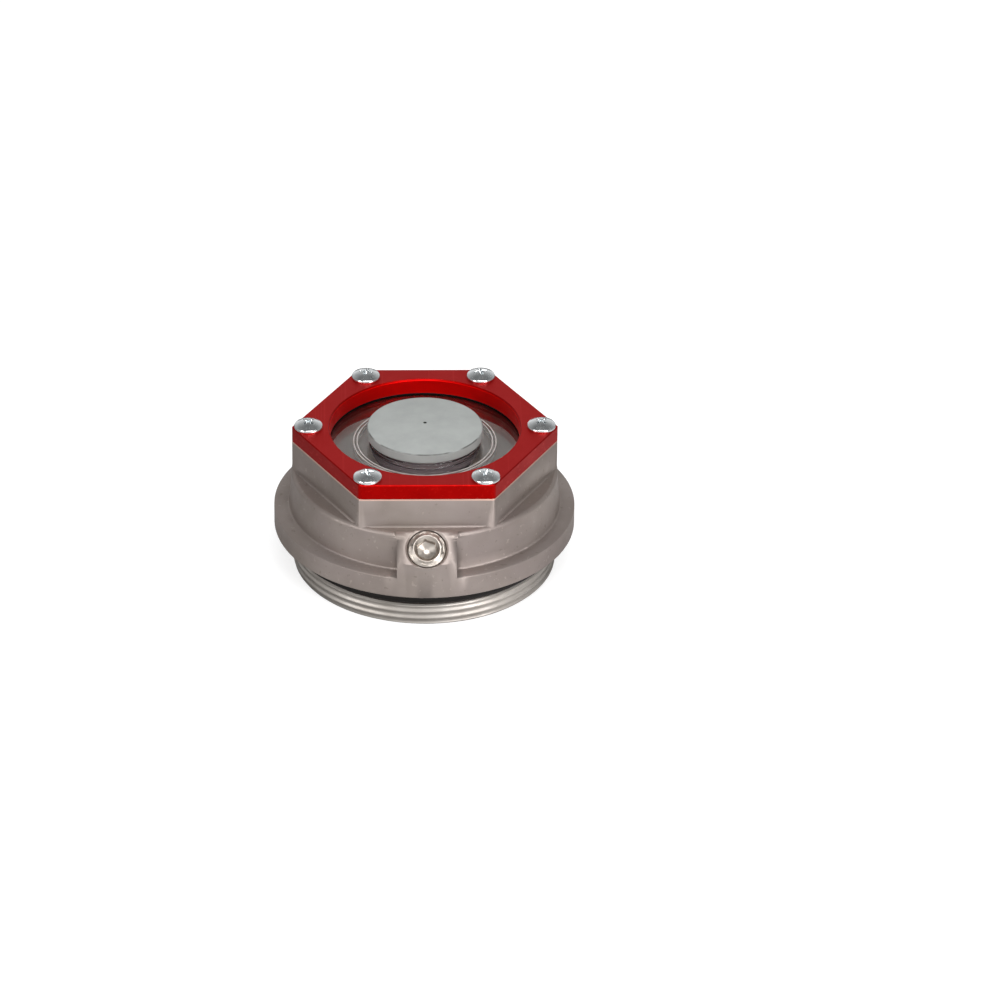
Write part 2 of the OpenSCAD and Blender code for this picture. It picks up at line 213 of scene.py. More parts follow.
def white_surround():
    """World light: an even dome for matt surfaces, white for the camera, graded for gloss and glass."""
    world = bpy.data.worlds.new("white_surround")
    tree = empty_tree(world)
    direction = put(tree, "ShaderNodeTexCoord").outputs["Generated"]
    parts = put(tree, "ShaderNodeSeparateXYZ", {0: direction}).outputs
    sky = spread(tree, parts["Z"], SKY_LOW, SKY_HIGH, HORIZON, OVERHEAD)
    sideways = spread(tree, maths(tree, "ABSOLUTE", parts["X"]), SIDE_START, SIDE_END, 1.0, SIDE_SHADE)
    glossy, through = light_path(tree, "Is Glossy Ray"), light_path(tree, "Is Transmission Ray")
    graded = maths(tree, "MAXIMUM", glossy, through)
    behind = mix_numbers(tree, graded, SURROUND, times(tree, sky, sideways))
    strength = mix_numbers(tree, light_path(tree, "Is Camera Ray"), behind, 1.0)
    light = put(tree, "ShaderNodeBackground", {"Color": (1, 1, 1, 1), "Strength": strength})
    put(tree, "ShaderNodeOutputWorld", {"Surface": light.outputs[0]})
    bpy.context.scene.world = world


white_surround()
bpy.context.scene.view_settings.view_transform = "Standard"
print("mirrored sky: %.1f at the horizon, %.1f overhead" % (HORIZON, OVERHEAD))

# %% Studio floor
FLOOR_SIZE, FLOOR_DROP = 12, 0.02 * MM
FLOOR_COLOUR = (0.45, 0.45, 0.45, 1)
FLOOR_SHADED = (0.13, 0.13, 0.13, 1)
FLOOR_LIFT = 0.68
GLOW_X, GLOW_Y = 0.14, -0.22
GLOW_NEAR, GLOW_FAR = 0.08, 0.42
GLOW_MOST, GLOW_LEAST = 0.85, 0.1
GLOW_ENOUGH = 0.4
OPEN_START, OPEN_END = 0.084, 0.098
FRONT_START, FRONT_END = -0.015, -0.055
LEFT_END, RIGHT_START = 0.0, 0.05
LEFT_NEAR, LEFT_FAR = 0.062, 0.088
LEFT_LEAST, LEFT_MOST = 0.2, 0.9
BORE_START, BORE_END, BORE_SHARE = 0.0500, 0.0505, 0.6


def floor_look(tree):
    """The light that the floor adds to its own, and its colour. The camera gets all of that light, rays
    through the window get less of it inside the cap's bore, and gloss gets a glow that fades away from one
    place. Close to the cap the glow is held back, apart from in front, and there it is held back on the
    left. In reflections the floor's colour is darker where the glow is weak."""
    position = put(tree, "ShaderNodeNewGeometry").outputs["Position"]
    x, y = put(tree, "ShaderNodeSeparateXYZ", {0: position}).outputs[:2]
    from_axis = diagonal(tree, x, y)
    from_glow = diagonal(tree, maths(tree, "SUBTRACT", x, GLOW_X), maths(tree, "SUBTRACT", y, GLOW_Y))
    left = spread(tree, from_axis, LEFT_NEAR, LEFT_FAR, LEFT_LEAST, LEFT_MOST)
    front = times(tree, spread(tree, y, FRONT_END, FRONT_START, 1.0, 0.0),
                  mix_numbers(tree, spread(tree, x, LEFT_END, RIGHT_START), left, 1.0))
    room = maths(tree, "MAXIMUM", spread(tree, from_axis, OPEN_START, OPEN_END), front)
    glow = times(tree, spread(tree, from_glow, GLOW_NEAR, GLOW_FAR, GLOW_MOST, GLOW_LEAST), room)
    glossy = light_path(tree, "Is Glossy Ray")
    bore = spread(tree, from_axis, BORE_START, BORE_END, BORE_SHARE, 1.0)
    seen_through = times(tree, light_path(tree, "Is Transmission Ray"), bore)
    seen = maths(tree, "MAXIMUM", light_path(tree, "Is Camera Ray"), seen_through)
    added = times(tree, maths(tree, "MAXIMUM", seen, times(tree, glossy, glow)), FLOOR_LIFT)
    weak = spread(tree, glow, 0.0, GLOW_ENOUGH, 1.0, 0.0)
    mirrored = blend_colours(tree, weak, FLOOR_COLOUR, FLOOR_SHADED)
    return added, blend_colours(tree, glossy, FLOOR_COLOUR, mirrored)


def studio_floor():
    """A square floor just under z = 0, lifted to white where it is seen, that still takes the shadow."""
    mesh = bpy.data.meshes.new("studio_floor")
    half, low = FLOOR_SIZE / 2, -FLOOR_DROP
    corners = [(-half, -half, low), (half, -half, low), (half, half, low), (-half, half, low)]
    mesh.from_pydata(corners, [], [(0, 1, 2, 3)])
    material = bpy.data.materials.new("studio_floor")
    tree = empty_tree(material)
    strength, colour = floor_look(tree)
    matt = put(tree, "ShaderNodeBsdfDiffuse", {"Color": colour})
    lift = put(tree, "ShaderNodeEmission", {"Strength": strength})
    both = put(tree, "ShaderNodeAddShader", {0: matt.outputs[0], 1: lift.outputs[0]})
    put(tree, "ShaderNodeOutputMaterial", {"Surface": both.outputs[0]})
    mesh.materials.append(material)
    floor = add_object("studio_floor", mesh)
    return floor


floor = studio_floor()
print("floor of %.0f m" % floor.dimensions.x)

# %% Soft lamps
LAMP_AIM = Vector((0, 0, 0.04))
LAMPS = {"softbox_above": (1.3 * Vector((0.06, -0.5, 0.85)), (0.9, 0.6), 10.6),
         "softbox_right": (1.4 * Vector((0.6, -0.75, 0.35)), (0.5, 0.7), 8.7),
         "softbox_left": (1.4 * Vector((-0.75, -0.6, 0.35)), (0.5, 0.7), 5.4)}


def soft_lamp(name, away, size, watts):
    """A rectangular area lamp, moved away from the aim and turned so that it shines at it."""
    data = bpy.data.lights.new(name, "AREA")
    data.shape = "RECTANGLE"
    data.size, data.size_y = size
    data.energy = watts
    lamp = add_object(name, data)
    lamp.location = LAMP_AIM + away
    lamp.rotation_euler = (LAMP_AIM - lamp.location).to_track_quat("-Z", "Y").to_euler()


for name, (away, size, watts) in LAMPS.items():
    soft_lamp(name, away, size, watts)
print("lamps:", ", ".join(LAMPS))

# %% [markdown]
# Five surface effects turn up in more than one material, so each is a shader node group that is made once
# and takes its scale where it is used. Mottling is the slow change in colour and gloss that handling,
# casting and plating leave. Grain is the fine unevenness of a skin. Turning marks are the rings that a
# lathe tool leaves about the cap's own axis. Hairlines are light scratches, and specks are small rubs and
# nicks. All of them are noise, which Blender works out at any place without a picture.

# %% Effects shared by the materials
CLOUD_RANGE, PIT_RANGE, PIT_SCALE = (0.3, 0.7), (0.58, 0.75), 0.22
PEAK_RANGE, HOLLOW_RANGE = (0.66, 0.72), (0.34, 0.27)
HAIR_TURNS, HAIR_STRETCH = (0.5, 1.9), 0.012


def new_group(name, inputs, outputs):
    """A shader node group with float inputs that have defaults and float outputs, and its two ends."""
    group = bpy.data.node_groups.new(name, "ShaderNodeTree")
    for label, value in inputs.items():
        socket = group.interface.new_socket(label, in_out="INPUT", socket_type="NodeSocketFloat")
        socket.default_value = value
    for label in outputs:
        group.interface.new_socket(label, in_out="OUTPUT", socket_type="NodeSocketFloat")
    return group, group.nodes.new("NodeGroupInput"), group.nodes.new("NodeGroupOutput")


def object_place(tree):
    """The place in the object's own coordinates, in metres."""
    return put(tree, "ShaderNodeTexCoord").outputs["Object"]


def object_xyz(tree):
    """The same place as three numbers."""
    return put(tree, "ShaderNodeSeparateXYZ", {0: object_place(tree)}).outputs


def noise(tree, place, scale, detail=2.0, roughness=0.5):
    """Cloudy noise around 0.5, its scale in features per metre."""
    sockets = {"Vector": place, "Scale": scale, "Detail": detail, "Roughness": roughness}
    return put(tree, "ShaderNodeTexNoise", sockets).outputs["Fac"]


def mottling_group():
    """Slow cloudy noise, stretched to run from 0 to 1."""
    group, start, end = new_group("mottling", {"Scale": 60.0}, ["Mask"])
    clouds = noise(group, object_place(group), start.outputs["Scale"], detail=3.0, roughness=0.6)
    fill(group, end, {"Mask": spread(group, clouds, *CLOUD_RANGE)})
    return group


def grain_group():
    """Height of a skin: fine noise, less small pits at the peaks of a wider noise."""
    group, start, end = new_group("grain", {"Scale": 1600.0, "Pits": 0.5}, ["Height"])
    place, scale = object_place(group), start.outputs["Scale"]
    fine = noise(group, place, scale, detail=3.0, roughness=0.65)
    wide = noise(group, place, times(group, scale, PIT_SCALE))
    lowered = times(group, spread(group, wide, *PIT_RANGE), start.outputs["Pits"])
    fill(group, end, {"Height": maths(group, "SUBTRACT", fine, lowered)})
    return group


def turning_group():
    """Rings about the Z axis: noise of the distance from the axis and of the height, both scaled."""
    group, start, end = new_group("turning_marks", {"Rings per metre": 2500.0}, ["Height"])
    x, y, z = object_xyz(group)
    rings = start.outputs["Rings per metre"]
    section = put(group, "ShaderNodeCombineXYZ",
                  {0: times(group, diagonal(group, x, y), rings), 1: times(group, z, rings)})
    fill(group, end, {"Height": noise(group, section.outputs[0], 1.0, roughness=0.6)})
    return group


def hairline_group():
    """Hairlines in two directions: the peaks of noise that is drawn out to some eighty times its width."""
    group, start, end = new_group("hairlines", {"Scale": 900.0}, ["Mask"])
    lines = []
    for turn in HAIR_TURNS:
        sockets = {"Vector": object_place(group), "Rotation": (0, 0, turn),
                   "Scale": (1.0, HAIR_STRETCH, 1.0)}
        drawn = put(group, "ShaderNodeMapping", sockets).outputs[0]
        lines.append(spread(group, noise(group, drawn, start.outputs["Scale"], detail=1.0), *PEAK_RANGE))
    fill(group, end, {"Mask": maths(group, "MAXIMUM", *lines)})
    return group


def specks_group():
    """Small bright rubs and dark nicks, a few on each centimetre: the peaks and the pits of one noise."""
    group, start, end = new_group("specks", {"Scale": 400.0}, ["Bright", "Dark"])
    spots = noise(group, object_place(group), start.outputs["Scale"], roughness=0.55)
    fill(group, end, {"Bright": spread(group, spots, *PEAK_RANGE),
                      "Dark": spread(group, spots, *HOLLOW_RANGE)})
    return group


MOTTLING, GRAIN, TURNING = mottling_group(), grain_group(), turning_group()
HAIRLINES, SPECKS = hairline_group(), specks_group()
print("groups:", [group.name for group in bpy.data.node_groups])

# %% Starting a material


def use(tree, group, **values):
    """Places a node group in a material with its own values, and gives its outputs."""
    node = tree.nodes.new("ShaderNodeGroup")
    node.node_tree = group
    fill(tree, node, {name.replace("_", " "): value for name, value in values.items()})
    return node.outputs


def new_material(name):
    """An empty material with a Principled shader, and its tree."""
    material = bpy.data.materials.new(name)
    tree = empty_tree(material)
    shader = put(tree, "ShaderNodeBsdfPrincipled")
    put(tree, "ShaderNodeOutputMaterial", {"Surface": shader.outputs[0]})
    return material, tree, shader


def axis_distance(tree):
    """Distance from the cap's own axis, in metres."""
    x, y = object_xyz(tree)[:2]
    return diagonal(tree, x, y)


def plain_normal(tree):
    """The surface's own normals."""
    return put(tree, "ShaderNodeNewGeometry").outputs["Normal"]


def soft_edges(tree, radius_mm):
    """Normals that are rounded off at sharp edges over the given radius."""
    return put(tree, "ShaderNodeBevel", {"Radius": radius_mm * MM}, samples=8).outputs[0]


def bumped(tree, height, strength, depth_mm, normal):
    """Normals that follow a height, whose full range is the depth."""
    sockets = {"Height": height, "Strength": strength, "Distance": depth_mm * MM, "Normal": normal}
    return put(tree, "ShaderNodeBump", sockets).outputs[0]


print("nodes that wait for a finish:", len(nodes))

# %% [markdown]
# The housing is cast and then tumbled, which leaves a satin skin, warm grey, with slow patches and a fine
# grain. The seam under the bezel is cut afterwards, and is smoother; its brighter colour is partly a painted
# highlight. Heights and radii in the object tell the places apart, so one material serves the whole casting.
# Seen through the window, the bore shows brighter and the neck above it darker than the light in the model
# makes them, so the bore gets painted light and the neck painted shade, each a colour of its own. The hub
# thread is a separate piece with a bright, turned material.

# %% Cast aluminium
CAST_DARK, CAST_LIGHT = linear(135, 125, 118), linear(160, 150, 143)
CAST_LILAC = linear(150, 138, 136)
CAST_SPOT, CAST_NICK = linear(176, 164, 154), linear(112, 101, 92)
CAST_ROUGH, SPOT_GLOSS, NICK_DEPTH = (0.57, 0.48), 0.12, 0.8
CAST_METALLIC = 0.85
# Painted light: a brighter colour for the bore inside the casting.
BORE_PAINTED_LIGHT, BORE_R, BORE_TOP = linear(255, 245, 237), 52 * MM, 44 * MM
# Painted shade: a darker colour for the neck above the bore.
NECK_PAINTED_SHADE, NECK_R = linear(96, 78, 72), 49.6 * MM
NECK_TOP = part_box("window_gasket")[0].z + 0.01 * MM
# The seam band is cut; its brighter colour is partly a painted highlight along the edge.
SEAM_CUT_HIGHLIGHT_COLOUR, SEAM_WIDTH, SEAM_CLEAR = linear(205, 172, 158), 0.9 * MM, 0.75
SEAM_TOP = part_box("bezel")[0].z


def within(tree, distance, radius, height, top):
    """1 inside a cylinder about the cap's axis and below its top, else 0."""
    return times(tree, maths(tree, "LESS_THAN", distance, radius), maths(tree, "LESS_THAN", height, top))


def cast_aluminium():
    """Satin cast skin with slow patches, bright spots and dark nicks, a cut seam at the head's top that is
    partly a painted highlight, painted light in the bore and painted shade in the neck.
    """
    material, tree, shader = new_material("cast_aluminium")
    x, y, z = object_xyz(tree)
    distance = diagonal(tree, x, y)
    patches = use(tree, MOTTLING, Scale=36.0)["Mask"]
    tints = use(tree, MOTTLING, Scale=24.0)["Mask"]
    grain = use(tree, GRAIN, Scale=1500.0, Pits=0.4)["Height"]
    wear = use(tree, SPECKS, Scale=420.0)
    rings = use(tree, TURNING, Rings_per_metre=2600.0)["Height"]
    # The seam band: cut rings in the height, and a brighter colour that is partly a painted highlight.
    cut_and_highlight = spread(tree, z, SEAM_TOP - SEAM_WIDTH, SEAM_TOP - SEAM_CLEAR * SEAM_WIDTH)
    skin = blend_colours(tree, patches, CAST_DARK, CAST_LIGHT)
    skin = blend_colours(tree, tints, skin, CAST_LILAC, share=0.6)
    skin = blend_colours(tree, wear["Bright"], skin, CAST_SPOT, share=0.4)
    skin = blend_colours(tree, wear["Dark"], skin, CAST_NICK, share=0.4)
    # Painted shade in the neck, then painted light in the bore.
    skin = blend_colours(tree, within(tree, distance, NECK_R, z, NECK_TOP), skin, NECK_PAINTED_SHADE)
    skin = blend_colours(tree, within(tree, distance, BORE_R, z, BORE_TOP), skin, BORE_PAINTED_LIGHT)
    rough = maths(tree, "SUBTRACT", pick(tree, patches, CAST_ROUGH), times(tree, wear["Bright"], SPOT_GLOSS))
    nicked = maths(tree, "SUBTRACT", grain, times(tree, wear["Dark"], NICK_DEPTH))
    height = mix_numbers(tree, cut_and_highlight, nicked, rings)
    normal = bumped(tree, height, strength=0.25, depth_mm=0.05, normal=soft_edges(tree, 0.18))
    fill(tree, shader, {"Base Color": blend_colours(tree, cut_and_highlight, skin, SEAM_CUT_HIGHLIGHT_COLOUR), "Roughness": rough,
                        "Metallic": CAST_METALLIC, "Normal": normal})
    return material


cast = cast_aluminium()
print("seam at %.2f mm, neck up to %.2f mm" % (SEAM_TOP / MM, NECK_TOP / MM))

# %% Turned aluminium
TURNED_DARK, TURNED_LIGHT = linear(182, 175, 168), linear(203, 197, 191)
TURNED_ROUGH = (0.5, 0.4)
TURNED_METALLIC = 0.9


def turned_aluminium():
    """Bright cut metal with fine tool rings."""
    material, tree, shader = new_material("turned_aluminium")
    patches = use(tree, MOTTLING, Scale=70.0)["Mask"]
    rings = use(tree, TURNING, Rings_per_metre=3000.0)["Height"]
    normal = bumped(tree, rings, strength=0.3, depth_mm=0.03, normal=plain_normal(tree))
    fill(tree, shader, {"Base Color": blend_colours(tree, patches, TURNED_DARK, TURNED_LIGHT),
                        "Roughness": pick(tree, patches, TURNED_ROUGH),
                        "Metallic": TURNED_METALLIC, "Normal": normal})
    return material


turned = turned_aluminium()
print("metals so far:", cast.name, turned.name)

# %% [markdown]
# The bezel is machined from bar and dyed red in its anodic layer. The metal under the dye gives a coloured
# reflection, and the hard clear layer over it a weak white one, so the shader is metal with a thin coat.
# The milled top is painted lighter than the sides: painted light for the way the light falls on it. The bore
# is painted brighter still, painted light that the window mirrors as a red band.

# %% Red anodised aluminium
RED_DEEP, RED_BRIGHT = (0.33, 0.0008, 0.0007, 1), (0.40, 0.0012, 0.001, 1)
RED_RUBBED = (0.56, 0.012, 0.008, 1)
# Painted light: a lighter red for faces that point up.
RED_TOP_PAINTED_LIGHT = (0.66, 0.004, 0.0034, 1)
# Painted light: a brighter red for the bore.
RED_BORE_PAINTED_LIGHT = (0.86, 0.0026, 0.002, 1)
RED_ROUGH, RED_HAIR_GLOSS = (0.52, 0.46), 0.06
UP_FACING_RANGE = (0.8, 0.95)
RED_METALLIC = 1.0
RED_COAT, RED_COAT_ROUGH = 0.02, 0.3
BEZEL_BORE_R = 41.195 * MM


def red_anodised():
    """Deep red satin metal under a thin clear layer, with hairlines and small rubs that catch the light."""
    material, tree, shader = new_material("red_anodised")
    patches = use(tree, MOTTLING, Scale=80.0)["Mask"]
    hairs = use(tree, HAIRLINES, Scale=700.0)["Mask"]
    rubs = use(tree, SPECKS, Scale=650.0)["Bright"]
    grain = use(tree, GRAIN, Scale=3000.0, Pits=0.1)["Height"]
    facing = put(tree, "ShaderNodeSeparateXYZ", {0: put(tree, "ShaderNodeTexCoord").outputs["Normal"]})
    # Painted light: faces that point up get a lighter red.
    lit_top = spread(tree, facing.outputs["Z"], *UP_FACING_RANGE)
    bore = maths(tree, "LESS_THAN", axis_distance(tree), BEZEL_BORE_R + 0.1 * MM)
    colour = blend_colours(tree, patches, RED_DEEP, RED_BRIGHT)
    colour = blend_colours(tree, maths(tree, "MAXIMUM", hairs, rubs), colour, RED_RUBBED, share=0.3)
    colour = blend_colours(tree, lit_top, colour, RED_TOP_PAINTED_LIGHT, share=0.55)
    rough = maths(tree, "SUBTRACT", pick(tree, patches, RED_ROUGH), times(tree, hairs, RED_HAIR_GLOSS))
    normal = bumped(tree, grain, strength=0.12, depth_mm=0.03, normal=soft_edges(tree, 0.15))
    # Painted light in the bore.
    fill(tree, shader, {"Base Color": blend_colours(tree, bore, colour, RED_BORE_PAINTED_LIGHT), "Roughness": rough,
                        "Metallic": RED_METALLIC, "Coat Weight": RED_COAT,
                        "Coat Roughness": RED_COAT_ROUGH, "Normal": normal})
    return material


red = red_anodised()
print("bezel's bore: %.2f mm" % (2 * BEZEL_BORE_R / MM))

# %% [markdown]
# The window is clear polycarbonate with a faint haze from handling. Light has to get through it to the
# inside of the cap, so its shader lets the lamps' shadow rays pass and bends only what the eye follows. Its
# collar shows the lines that the mould left: fine ribs round the axis, as bump. The collar would need far
# more faces to carry them as shape.

# %% Clear window
LEVEL_RINGS = (29.3 * MM, 30.8 * MM)
RING_HALF_WIDTH = 0.27 * MM
WINDOW_TOP = 57.8 * MM
COLLAR_R, COLLAR_FOOT = 26 * MM, 0.2 * MM
WINDOW_BASE = (0.985, 0.98, 0.975, 1)
WINDOW_SHADOW = (0.98, 0.98, 0.98, 1)
WINDOW_IOR = 1.5
HAZE_ROUGH, HAIR_ROUGH, FROSTED_ROUGH = (0.02, 0.05), 0.1, 0.45


def near(tree, value, middle, half_width):
    """1 where the value lies within the half width of the middle, else 0."""
    away = maths(tree, "ABSOLUTE", maths(tree, "SUBTRACT", value, middle))
    return maths(tree, "LESS_THAN", away, half_width)


def clear_plastic():
    """Clear plastic with haze, frosted level rings and a ribbed collar, which lets lamp light through."""
    material, tree, shader = new_material("clear_plastic")
    x, y, z = object_xyz(tree)
    distance = diagonal(tree, x, y)
    haze = use(tree, MOTTLING, Scale=120.0)["Mask"]
    hairs = use(tree, HAIRLINES, Scale=600.0)["Mask"]
    frosted = maths(tree, "MAXIMUM", *[near(tree, distance, ring, RING_HALF_WIDTH) for ring in LEVEL_RINGS])
    rough = maths(tree, "ADD", pick(tree, haze, HAZE_ROUGH), times(tree, hairs, HAIR_ROUGH))
    collar = times(tree, maths(tree, "LESS_THAN", distance, COLLAR_R),
                   maths(tree, "GREATER_THAN", z, WINDOW_TOP + COLLAR_FOOT))
    ribs = times(tree, use(tree, TURNING, Rings_per_metre=900.0)["Height"], collar)
    normal = bumped(tree, ribs, strength=1.0, depth_mm=1.2, normal=plain_normal(tree))
    fill(tree, shader, {"Base Color": WINDOW_BASE, "IOR": WINDOW_IOR, "Transmission Weight": 1.0,
                        "Roughness": maths(tree, "MAXIMUM", rough, times(tree, frosted, FROSTED_ROUGH)),
                        "Normal": normal})
    clear = put(tree, "ShaderNodeBsdfTransparent", {"Color": WINDOW_SHADOW})
    both = put(tree, "ShaderNodeMixShader",
               {0: light_path(tree, "Is Shadow Ray"), 1: shader.outputs[0], 2: clear.outputs[0]})
    end = next(node for node in tree.nodes if node.type == "OUTPUT_MATERIAL")
    fill(tree, end, {"Surface": both.outputs[0]})
    return material


window_plastic = clear_plastic()
print("level rings at %s mm" % [round(ring / MM, 2) for ring in LEVEL_RINGS])

# %% [markdown]
# Rubber is matt and never quite one colour. The grey plug has a satin moulded skin, a thin dark line painted
# at its head's upper edge, painted shade in its pinhole, and a neck painted darker as shade under the head,
# which shows through the collar. The O-ring and the window's gasket are black.

# %% Rubber
VENT_DARK, VENT_LIGHT = linear(146, 149, 147), linear(157, 160, 158)
VENT_R, VENT_EDGE_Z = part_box("vent_plug")[1].x, 65.5 * MM
LINE_COLOUR, LINE_WIDTH, LINE_HEIGHT = linear(58, 57, 54), (0.55, 0.3), (0.45, 0.25)
LINE_BREAKS, BREAK_RANGE = 130.0, (0.4, 0.62)
# Painted shade: the dark of the pinhole.
PINHOLE_SHADE, PINHOLE_START, PINHOLE_END = linear(40, 38, 36), 0.6 * MM, 0.95 * MM
# Painted shade: the neck under the head.
VENT_NECK_SHADE, VENT_NECK_Z = linear(122, 110, 112), 61.4 * MM
BLACK_DARK, BLACK_LIGHT = linear(14, 10, 8), linear(22, 17, 14)
RUBBER_GLOSS = 0.25


def plain_rubber(name, dark, light, rough, bump):
    """Moulded rubber between two colours, with a fine grain; the shader's own gloss is kept low."""
    material, tree, shader = new_material(name)
    patches = use(tree, MOTTLING, Scale=90.0)["Mask"]
    grain = use(tree, GRAIN, Scale=2600.0, Pits=0.3)["Height"]
    colour = blend_colours(tree, patches, dark, light)
    normal = bumped(tree, grain, bump, depth_mm=0.03, normal=soft_edges(tree, 0.2))
    fill(tree, shader, {"Base Color": colour, "Roughness": pick(tree, patches, rough),
                        "Specular IOR Level": RUBBER_GLOSS, "Normal": normal})
    return material, tree, shader, colour


def vent_rubber():
    """Grey rubber with a thin dark line painted at the head's upper edge that comes and goes, painted shade in
    the pinhole, and a neck painted darker as shade under the head.
    """
    material, tree, shader, colour = plain_rubber("grey_rubber", VENT_DARK, VENT_LIGHT, (0.5, 0.6), 0.1)
    x, y, z = object_xyz(tree)
    distance = diagonal(tree, x, y)
    # A thin dark line painted at the head's upper edge, broken here and there.
    outward = spread(tree, distance, *[VENT_R - step * MM for step in LINE_WIDTH])
    upward = spread(tree, z, *[VENT_EDGE_Z - step * MM for step in LINE_HEIGHT])
    broken = spread(tree, noise(tree, object_place(tree), LINE_BREAKS), *BREAK_RANGE)
    line = times(tree, times(tree, outward, upward), broken)
    # Painted shade in the pinhole and on the neck under the head.
    pinhole_shade = spread(tree, distance, PINHOLE_START, PINHOLE_END, 1.0, 0.0)
    neck = maths(tree, "LESS_THAN", z, VENT_NECK_Z)
    colour = blend_colours(tree, line, colour, LINE_COLOUR, share=0.75)
    colour = blend_colours(tree, pinhole_shade, colour, PINHOLE_SHADE)
    fill(tree, shader, {"Base Color": blend_colours(tree, neck, colour, VENT_NECK_SHADE)})
    return material


grey_rubber = vent_rubber()
black_rubber = plain_rubber("black_rubber", BLACK_DARK, BLACK_LIGHT, (0.5, 0.65), 0.2)[0]
print("vent plug radius %.2f mm" % (VENT_R / MM))

# %% [markdown]
# The screws are zinc plated, a little dull from handling. The filler plug is plain turned steel, warmer,
# with the scuffs that a hexagon key leaves. One function makes both, because they differ only in colour,
# gloss and how round their edges look.

# %% Zinc and steel
ZINC_DARK, ZINC_LIGHT, ZINC_ROUGH = linear(206, 210, 212), linear(226, 229, 230), (0.14, 0.24)
STEEL_DARK, STEEL_LIGHT, STEEL_ROUGH = linear(166, 157, 148), linear(200, 192, 184), (0.25, 0.38)


def bright_metal(name, dark, light, rough, edge_mm):
    """Bright metal between two colours, with hairlines and a trace of grain."""
    material, tree, shader = new_material(name)
    patches = use(tree, MOTTLING, Scale=300.0)["Mask"]
    hairs = use(tree, HAIRLINES, Scale=1500.0)["Mask"]
    grain = use(tree, GRAIN, Scale=3500.0, Pits=0.3)["Height"]
    dull = maths(tree, "ADD", pick(tree, patches, rough), times(tree, hairs, HAIR_ROUGH))
    normal = bumped(tree, grain, strength=0.1, depth_mm=0.02, normal=soft_edges(tree, edge_mm))
    fill(tree, shader, {"Base Color": blend_colours(tree, patches, dark, light), "Roughness": dull,
                        "Metallic": 1.0, "Normal": normal})
    return material


zinc = bright_metal("zinc_plate", ZINC_DARK, ZINC_LIGHT, ZINC_ROUGH, edge_mm=0.1)
steel = bright_metal("plug_steel", STEEL_DARK, STEEL_LIGHT, STEEL_ROUGH, edge_mm=0.08)
finishes = {"housing": cast, "flange_o_ring": black_rubber, "window": window_plastic,
            "window_gasket": black_rubber, "bezel": red, "filler_plug": steel, "vent_plug": grey_rubber}
finishes.update({name: zinc for name in nodes if name.startswith("screw_")})
for name, material in finishes.items():
    mesh = nodes[name].data
    mesh.materials.clear()
    mesh.materials.append(material)
print("finished nodes:", len(finishes))

# %% [markdown]
# The hub thread is one helical groove. A grid follows it: one direction runs round the cap, the other along
# the thread's profile, and each turn starts a pitch higher. The grid is then held between the two ends of
# the spigot and inside their chamfers, so the thread fades out as a cut one does. A sleeve on top of the
# packed cylinder would be too wide, so the casting is copied without that cylinder and the thread takes
# its place.

# %% Hub thread
THREAD_R, THREAD_INNER_R = 57.15 * MM, 52.4 * MM
THREAD_LENGTH, THREAD_CHAMFER = 9.8 * MM, 0.9 * MM
THREADS_PER_INCH = 8
THREAD_PITCH = 25.4 / THREADS_PER_INCH * MM
THREAD_DEPTH = 0.5 * MM
CREST, FLANK, EASE = 0.35 * MM, 1.05 * MM, 0.06 * MM
CREST_AT_FRONT, CREST_ROW = 6.5 * MM, 0.05 * MM
THREAD_COLUMNS = 480
FIRST_TURN, LAST_TURN, TURNS_ABOVE = -1, 5, 3


def groove_profile():
    """Places down from the crest's upper edge, and the groove's depth at each: crest, flank, root and flank,
    with every corner eased."""
    places = [0, CREST - EASE, CREST + EASE, CREST + FLANK - EASE, CREST + FLANK + EASE,
              THREAD_PITCH - FLANK - EASE, THREAD_PITCH - FLANK + EASE, THREAD_PITCH - EASE, THREAD_PITCH]
    rise = THREAD_DEPTH * EASE / FLANK
    flank = [0, rise, THREAD_DEPTH - rise, THREAD_DEPTH]
    return np.array(places), np.array([rise / 2, *flank, *flank[:0:-1], rise / 2])


def helix_thread():
    """Radius = thread radius less the groove, height = top less the place down + pitch x turns round. Both
    are held at the spigot's ends and its chamfers."""
    places, depths = groove_profile()
    between = [CREST_ROW, CREST / 2, CREST + FLANK / 2, THREAD_PITCH - FLANK / 2]
    stops = np.sort(np.append(places[:-1], between))
    angle = np.linspace(0, 2 * np.pi, THREAD_COLUMNS + 1)
    down = np.concatenate([stops + THREAD_PITCH * turn for turn in range(FIRST_TURN, LAST_TURN + 1)])
    top = CREST_AT_FRONT + TURNS_ABOVE * THREAD_PITCH
    height = top - down[:, None] + THREAD_PITCH * (angle[None, :] + np.pi / 2) / (2 * np.pi)
    groove = np.interp(np.mod(down, THREAD_PITCH), places, depths)
    held = np.clip(height, 0, THREAD_LENGTH)
    from_end = np.minimum(held, THREAD_LENGTH - held)
    radius = np.minimum(THREAD_R - groove[:, None], THREAD_R - THREAD_CHAMFER + from_end)
    return radius, held, angle


radius, held, angle = helix_thread()
print("thread grid %d x %d" % radius.shape)
print("radius from %.2f to %.2f mm" % (radius.min() / MM, radius.max() / MM))

# %% From a grid to a piece
MERGE_DISTANCE, THIN_EDGE = 1e-6, 1e-7


def spin(distances, heights, angle):
    """Points at these distances from the Z axis and these heights, at every angle."""
    return np.stack([distances * np.cos(angle), distances * np.sin(angle), heights + 0 * angle], -1)


